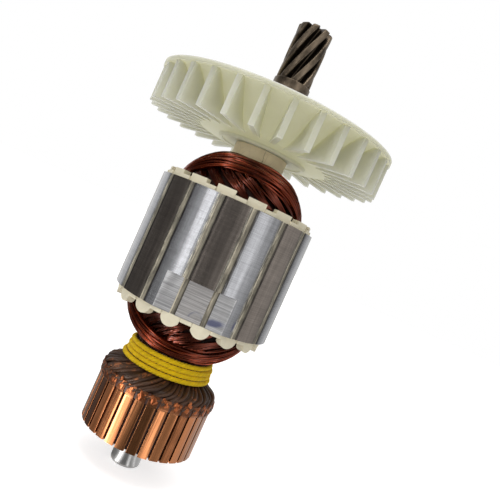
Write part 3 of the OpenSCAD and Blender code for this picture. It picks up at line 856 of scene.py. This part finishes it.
def weld_lumps(rng):
    """Copper lumps on each riser: one large and three small spheres, uneven and half sunk."""
    count, rings, sides = 4 * len(BARS), 8, 12
    number = np.arange(count)
    bar = BAR_PHASE + (number % len(BARS)) * BAR_STEP
    row = number // len(BARS)
    small = (row > 0).astype(float)
    angle = bar + rng.uniform(-1, 1, count) * (0.8 + 2.2 * small)
    height = RISER_TOP - (1.35 - 0.35 * row * small) * MM
    height = height + rng.uniform(-0.4, 0.4, count) * MM * (0.6 + small)
    size = (rng.uniform(0.6, 0.85, count) - 0.32 * small) * MM
    theta = np.linspace(0.02, np.pi - 0.02, rings)[None, :, None]
    phi = (np.arange(sides) * 2 * np.pi / sides)[None, None, :]
    phase = rng.uniform(0, 2 * np.pi, (count, 1, 1))
    swell = (1 + 0.16 * np.sin(3 * phi + phase) * np.sin(theta)
             + 0.14 * np.sin(4 * theta + 2 * phase))
    r = size[:, None, None] * swell
    across, up = r * np.sin(theta) * np.cos(phi), r * np.sin(theta) * np.sin(phi)
    turn = np.degrees(across / TRACK_R) + angle[:, None, None]
    points = around(TRACK_R + 0.1 * MM + r * np.cos(theta) * 0.5, turn,
                    height[:, None, None] + up * 1.3)
    tones = np.repeat(rng.uniform(0, 1, count), rings * sides)
    return (points.reshape(-1, 3), tube_quads(rings, sides, count)), tones


def lashing_centre(t, cord, turns):
    """Centre line of the lashing at turn t: radius, angle and height. Its ends are at the back.

    The first turn is slack, the last is drawn in, and turns wander by a sine.
    """
    angle = 360 * t + 180
    slack = 1 - ease(0, 1.3, t)
    wander = np.sin(np.radians(2 * angle + 40))
    drawn_in = ease(turns - 1.2, turns - 0.2, t)
    radius = NECK_R + cord / 2 + (0.2 + 0.8 * slack + 0.1 * wander - 0.5 * drawn_in) * MM
    tilt = 0.06 * cord * np.sin(np.radians(angle - 70))
    height = LEADS_TOP - cord / 2 + 0.6 * MM - (turns - t) * 1.2 * cord + tilt
    return radius, angle, height


def cord_plies(cord, turns):
    """Three plies twisted round the lashing's centre line, each a helix with a 2.6 mm pitch."""
    plies, pitch, spread = 3, 2.6 * MM, 0.23 * cord
    t = np.linspace(0, turns, 320 * turns)[None]
    radius, angle, height = lashing_centre(t, cord, turns)
    twist = 2 * np.pi * (t * 2 * np.pi * NECK_R / pitch + np.arange(plies)[:, None] / plies)
    return around(radius + spread * np.cos(twist), angle, height + spread * np.sin(twist))


class ARMATURE_OT_leads(bpy.types.Operator):
    """Build the bonded leads, their welds and the lashing"""
    bl_idname = "armature.leads"
    bl_label = "Leads and lashing"

    def execute(self, context):
        settings = context.scene.armature_leads
        rng = np.random.default_rng(32)
        sides = 8
        paths = lead_paths(settings.lead, settings.turn, rng)
        thickness = rng.uniform(0.44, 0.54, len(paths)) * settings.lead
        body = resin_body(settings.lead)
        bundle = joined([tubes(paths, thickness, sides), body])
        tones = np.concatenate([own_tones(paths, sides, rng), np.zeros(len(body[0]))])
        piece("lead_bundle", bundle, bonded_leads(settings.resin),
              ["lead_collar"], tones)
        lumps, tones = weld_lumps(rng)
        piece("riser_welds", lumps, weld_copper(), tones=tones)
        plies = cord_plies(settings.cord, settings.turns)
        tones = np.repeat([0.2, 0.5, 0.8], plies.shape[1] * sides)
        piece("lashing_plies", tubes(plies, 0.4 * settings.cord, sides),
              cotton_cord(settings.cotton), ["lashing_cord"], tones)
        return {'FINISHED'}


# ---- Shaft ----

def rounded(profile, radius, steps=4):
    """Profile whose inner corners are cut by quadratic curves of the given reach."""
    profile = np.asarray(profile, dtype=float)
    before, corner, after = profile[:-2], profile[1:-1], profile[2:]
    arrive, leave = before - corner, after - corner
    far_in, far_out = (np.linalg.norm(v, axis=1, keepdims=True) for v in (arrive, leave))
    start = corner + arrive / far_in * np.minimum(radius, 0.45 * far_in)
    end = corner + leave / far_out * np.minimum(radius, 0.45 * far_out)
    s = np.linspace(0, 1, steps)[None, :, None]
    bend = (1 - s) ** 2 * start[:, None] + 2 * s * (1 - s) * corner[:, None] + s ** 2 * end[:, None]
    return np.concatenate([profile[:1], bend.reshape(-1, 2), profile[-1:]])


def pinion_teeth(teeth=8, outer=4.7 * MM, depth=1.9 * MM, turn=86.0, chamfer=0.6 * MM,
                 sunk=0.2 * MM):
    """Helical pinion: radius = outer - depth (1 - w), with w a smooth step of cos(teeth * angle).

    The wave turns with height, and the radius shrinks at the far end for the chamfer. The near end
    is sunk in the shaft.
    """
    angle = full_turn(24 * teeth)
    share = np.linspace(-sunk / PINION_LENGTH, 1, 72)[None]
    tooth = ease(-0.9, 0.25, np.cos(np.radians(teeth * (angle - turn * share))))
    radius = (outer - depth * (1 - tooth)) * (1 - chamfer / outer * ease(0.975, 1.0, share))
    return turned(radius, angle, PINION_LOW + share * PINION_LENGTH)


class ARMATURE_OT_shaft(bpy.types.Operator):
    """Build the shaft with rounded shoulders and its helical pinion"""
    bl_idname = "armature.shaft"
    bl_label = "Shaft"

    def execute(self, context):
        settings = context.scene.armature_metal
        seat_r, hub_r, main_r, drive_r, chamfer = 4 * MM, 5 * MM, 6 * MM, 5 * MM, 0.5 * MM
        seat_top, drive_low = BARS_LOW + 0.4 * MM, PINION_LOW - 9 * MM
        radius, height = rounded([
            [seat_r - 2 * chamfer, SHAFT_LOW], [seat_r - chamfer, SHAFT_LOW],
            [seat_r, SHAFT_LOW + chamfer], [seat_r, seat_top], [hub_r, seat_top],
            [hub_r, RISER_TOP], [main_r, RISER_TOP], [main_r, drive_low - chamfer],
            [main_r - chamfer, drive_low], [drive_r, drive_low], [drive_r, PINION_LOW],
            [drive_r - chamfer, PINION_LOW]], 0.2 * MM).T
        angle = full_turn(96)
        shaft = joined([turned(radius, angle, height), pinion_teeth()])
        piece("shaft_and_pinion", shaft, shaft_steel(settings.steel, settings.oiled),
              ["shaft"])
        return {'FINISHED'}


# ---- Core, insulation, commutator and fan ----

class ARMATURE_OT_core(bpy.types.Operator):
    """Finish the lamination stack and its insulation"""
    bl_idname = "armature.core"
    bl_label = "Core and insulation"

    def execute(self, context):
        metal, moulding = context.scene.armature_metal, context.scene.armature_moulding
        softened("core_stack", ["lamination_stack"], 0.2 * MM, core_steel(metal.core))
        board = fibre("fibre_board", moulding.fibre)
        for end in ("fan", "commutator"):
            softened(f"end_plate_by_{end}", [f"end_plate_{end}_side"], 0.15 * MM, board)
        strip = fibre("wedge_fibre", moulding.fibre, moulding.wedge)
        softened("slot_strips", WEDGES, 0.22 * MM, strip, segments=3)
        give_finish(["slot_liners"], fibre("liner_paper", shade(moulding.fibre, 0.85)))
        give_finish(["shaft_insulator"], crazed_sleeve(moulding.sleeve))
        return {'FINISHED'}


class ARMATURE_OT_commutator(bpy.types.Operator):
    """Finish the commutator's bars and moulding"""
    bl_idname = "armature.commutator"
    bl_label = "Commutator"

    def execute(self, context):
        metal, moulding = context.scene.armature_metal, context.scene.armature_moulding
        softened("commutator_bars", BARS, 0.16 * MM, commutator_copper(metal.copper))
        phenolic = speckled("moulding", moulding.hub, (900, 4, 0.7), (0.5, 1.6), 0.4, 0.05 * MM)
        give_finish(["commutator_hub"], phenolic)
        return {'FINISHED'}


class ARMATURE_OT_fan(bpy.types.Operator):
    """Finish the moulded cooling fan"""
    bl_idname = "armature.fan"
    bl_label = "Cooling fan"

    def execute(self, context):
        nylon = fan_nylon(context.scene.armature_moulding.nylon)
        softened("fan_moulding", ["cooling_fan"], 0.2 * MM, nylon)
        return {'FINISHED'}


def give_finish(nodes, material):
    """Puts a material on CAD nodes that stay as they are."""
    for node in nodes:
        slots = bpy.data.objects[node].data.materials
        slots.clear()
        slots.append(material)


# ---- Stage ----

WHITE = (1, 1, 1, 1)
CAMERA_YAW, CAMERA_PITCH = 2.82, -0.95

# Level of the cards that reflections see, at angles round the shaft: low ones close to the
# commutator, and tall ones further out
LOW_CARDS = [(-150, 0.4), (-112, 0.35), (-98, 0.22), (-84, 0.25), (-74, 0.5), (-66, 0.3),
             (-58, 0.35), (-53, 1.4), (-50, 0.8), (-43, 1.2), (-40, 9.0), (-34, 9.0),
             (-30, 2.6), (-22, 2.0), (-16, 0.5), (-8, 0.2), (8, 0.18), (18, 0.5), (22, 2.4),
             (28, 2.4), (32, 0.3), (46, 0.8), (53, 0.7), (56, 2.2), (60, 2.2), (64, 0.9),
             (110, 0.95), (150, 0.9)]
TALL_CARDS = [(-150, 1.1), (-118, 1.0), (-109, 0.12), (-74, 0.09), (-67, 0.2), (-50, 0.32),
              (-41, 0.6), (-37, 3.4), (-34, 3.4), (-31, 1.2), (-25, 0.6), (-15, 0.2), (0, 0.12),
              (8, 0.25), (18, 0.45), (29, 0.9), (34, 1.6), (42, 1.6), (46, 0.8), (58, 0.55),
              (63, 0.4), (70, 0.5), (94, 0.5), (108, 0.2), (114, 0.2), (124, 0.8), (150, 0.8)]

# Each lamp's angle round the shaft, height, distance, width and length, and energy
LAMPS = {"key": (-41, 0.12, 0.5, (0.07, 0.5), 0.62),
         "edge": (34, 0.1, 0.5, (0.02, 0.5), 0.12),
         "overhead": (-20, 0.62, 0.3, (0.18, 0.18), 0.6)}


def add_camera(settings):
    """Camera on the front side, turned and rolled so that the armature leans across the picture."""
    data = bpy.data.cameras.new("camera")
    data.lens = settings.lens
    data.clip_start, data.clip_end = 0.005, 10
    camera = added("camera", data)
    yaw, pitch, roll = np.radians([CAMERA_YAW, CAMERA_PITCH, settings.roll])
    forward = Vector((np.sin(yaw) * np.cos(pitch), np.cos(yaw) * np.cos(pitch), np.sin(pitch)))
    right = Vector((np.cos(yaw), -np.sin(yaw), 0))
    up = right.cross(forward)
    tilted_right = right * np.cos(roll) + up * np.sin(roll)
    tilted_up = up * np.cos(roll) - right * np.sin(roll)
    height = (CORE_LOW + CORE_TOP) / 2 + settings.camera_height
    place = Vector((0, -settings.camera_distance, height))
    aim = Matrix((tilted_right, tilted_up, -forward)).transposed().to_4x4()
    camera.matrix_world = Matrix.Translation(place) @ aim
    bpy.context.scene.camera = camera


def add_lamp(name, angle, height, distance, size, energy):
    """Rectangular softbox at an angle round the shaft, aimed at the shaft's middle."""
    data = bpy.data.lights.new(name, 'AREA')
    data.shape = 'RECTANGLE'
    data.size, data.size_y = size
    data.energy = energy
    lamp = added(name, data)
    lamp.location = around(distance, angle, height)
    aim = Vector((0, 0, (SHAFT_LOW + SHAFT_TOP) / 2)) - lamp.location
    lamp.rotation_euler = aim.to_track_quat('-Z', 'Y').to_euler()


def stage_mesh(name, finish, points, quads):
    """Mesh of the stage with a new material. Returns the object and the material's empty tree."""
    mesh = bpy.data.meshes.new(name)
    mesh.from_pydata(points.reshape(-1, 3).tolist(), [], quads.tolist())
    material = bpy.data.materials.new(finish)
    mesh.materials.append(material)
    return added(name, mesh), empty_tree(material)


def add_cards(name, levels, profile):
    """Dark and bright cards round the front, which only reflections see.

    Their profile of radius and height is carried round the shaft. Their level follows the angle.
    Behind the armature, reflections show the plain background.
    """
    profile = np.array(profile)
    angle = np.linspace(levels[0][0], levels[-1][0], 101)[:, None]
    points = around(profile[:, 0], angle, profile[:, 1])
    cards, tree = stage_mesh(name, name, points, grid_quads(*points.shape[:2]))
    x, y, _ = parts(tree, add_node(tree, "TexCoord", output=3))
    turn = x.arc_tangent(y * -1.0) / (2 * np.pi) + 0.5
    most = max(level for _, level in levels)
    strength = add_node(tree, "ValToRGB", sockets={0: turn})
    stops = strength.socket.node.color_ramp.elements
    while len(stops) < len(levels):
        stops.new(0.5)
    for stop, (at, level) in zip(stops, levels):
        stop.position, stop.color = at / 360 + 0.5, [level / most] * 3 + [1]
    show(tree, add_node(tree, "Emission", sockets={"Color": WHITE, "Strength": strength * most}))
    cards.visible_camera = cards.visible_diffuse = False
    cards.visible_transmission = cards.visible_shadow = False


def shown_rays(tree):
    """1 for the rays that show the background: from the camera, and in metal and glass."""
    camera, glossy, transmission = [add_node(tree, "LightPath", output=i) for i in (0, 3, 6)]
    return (camera + glossy + transmission).clamped()


def add_world(backdrop):
    """Plain background, and light for matt surfaces from all round, a little more from above."""
    world = bpy.data.worlds.new("studio")
    bpy.context.scene.world = world
    tree = empty_tree(world)
    _, _, z = parts(tree, add_node(tree, "TexCoord", output=0))
    light = add_node(tree, "Background", sockets={
        "Color": WHITE, "Strength": z.over(0.3, 1.2) * 0.25 + 0.5})
    plain = add_node(tree, "Background", sockets={"Color": (*backdrop, 1), "Strength": 1.0})
    show(tree, add_node(tree, "MixShader", sockets={0: shown_rays(tree), 1: light, 2: plain}),
         "OutputWorld")


def add_floor(backdrop):
    """Pale floor at the shaft's lower end. It glows a little where seen, and keeps the shadow."""
    half, z = 2.5, SHAFT_LOW
    corners = np.array([(-half, -half, z), (half, -half, z), (half, half, z), (-half, half, z)])
    floor, tree = stage_mesh("floor", "pale_floor", corners, np.array([(0, 1, 2, 3)]))
    diffuse = add_node(tree, "BsdfDiffuse", sockets={"Color": (*shade(backdrop, 0.8), 1)})
    glow = add_node(tree, "Emission", sockets={
        "Color": (*backdrop, 1), "Strength": shown_rays(tree) * 0.62})
    show(tree, add_node(tree, "AddShader", sockets={0: diffuse, 1: glow}))


class ARMATURE_OT_stage(bpy.types.Operator):
    """Set up the floor, the light and the camera"""
    bl_idname = "armature.stage"
    bl_label = "Stage"

    def execute(self, context):
        settings = context.scene.armature_stage
        context.scene.view_settings.view_transform = 'Standard'
        add_camera(settings)
        add_world(settings.backdrop)
        add_floor(settings.backdrop)
        near, far = 30 * MM, 100 * MM
        rest, low_top, tall_top = SHAFT_LOW + 0.1 * MM, RISER_TOP + 2 * MM, SHAFT_TOP + 50 * MM
        add_cards("low_cards", LOW_CARDS, [[5 * MM, rest], [near, rest], [near, low_top]])
        add_cards("tall_cards", TALL_CARDS, [[near, rest], [far, rest], [far, tall_top]])
        for name, values in LAMPS.items():
            add_lamp(name, *values)
        return {'FINISHED'}


# ---- Panel and registration ----

OPERATORS = [ARMATURE_OT_stage, ARMATURE_OT_shaft, ARMATURE_OT_core, ARMATURE_OT_winding,
             ARMATURE_OT_leads, ARMATURE_OT_commutator, ARMATURE_OT_fan]
GROUPS = {"armature_stage": StageSettings, "armature_metal": MetalSettings,
          "armature_moulding": MouldingSettings, "armature_winding": WindingSettings,
          "armature_leads": LeadSettings}


class ARMATURE_PT_panel(bpy.types.Panel):
    """Lists the armature's pieces and the values behind them"""
    bl_idname = "ARMATURE_PT_panel"
    bl_label = "Motor Armature"
    bl_space_type = 'VIEW_3D'
    bl_region_type = 'UI'
    bl_category = "Armature"

    def draw(self, context):
        for operator in OPERATORS:
            self.layout.operator(operator.bl_idname)
        for name, group in GROUPS.items():
            box = self.layout.box()
            for key in group.__annotations__:
                box.prop(getattr(context.scene, name), key)


CLASSES = [*GROUPS.values(), *OPERATORS, ARMATURE_PT_panel]


def register():
    for kind in CLASSES:
        bpy.utils.register_class(kind)
    for name, group in GROUPS.items():
        setattr(bpy.types.Scene, name, PointerProperty(type=group))


def unregister():
    for name in GROUPS:
        delattr(bpy.types.Scene, name)
    for kind in reversed(CLASSES):
        bpy.utils.unregister_class(kind)


def main():
    register()
    bpy.ops.armature.stage()
    bpy.ops.armature.shaft()
    bpy.ops.armature.core()
    bpy.ops.armature.winding()
    bpy.ops.armature.leads()
    bpy.ops.armature.commutator()
    bpy.ops.armature.fan()


if __name__ == "__main__":
    main()
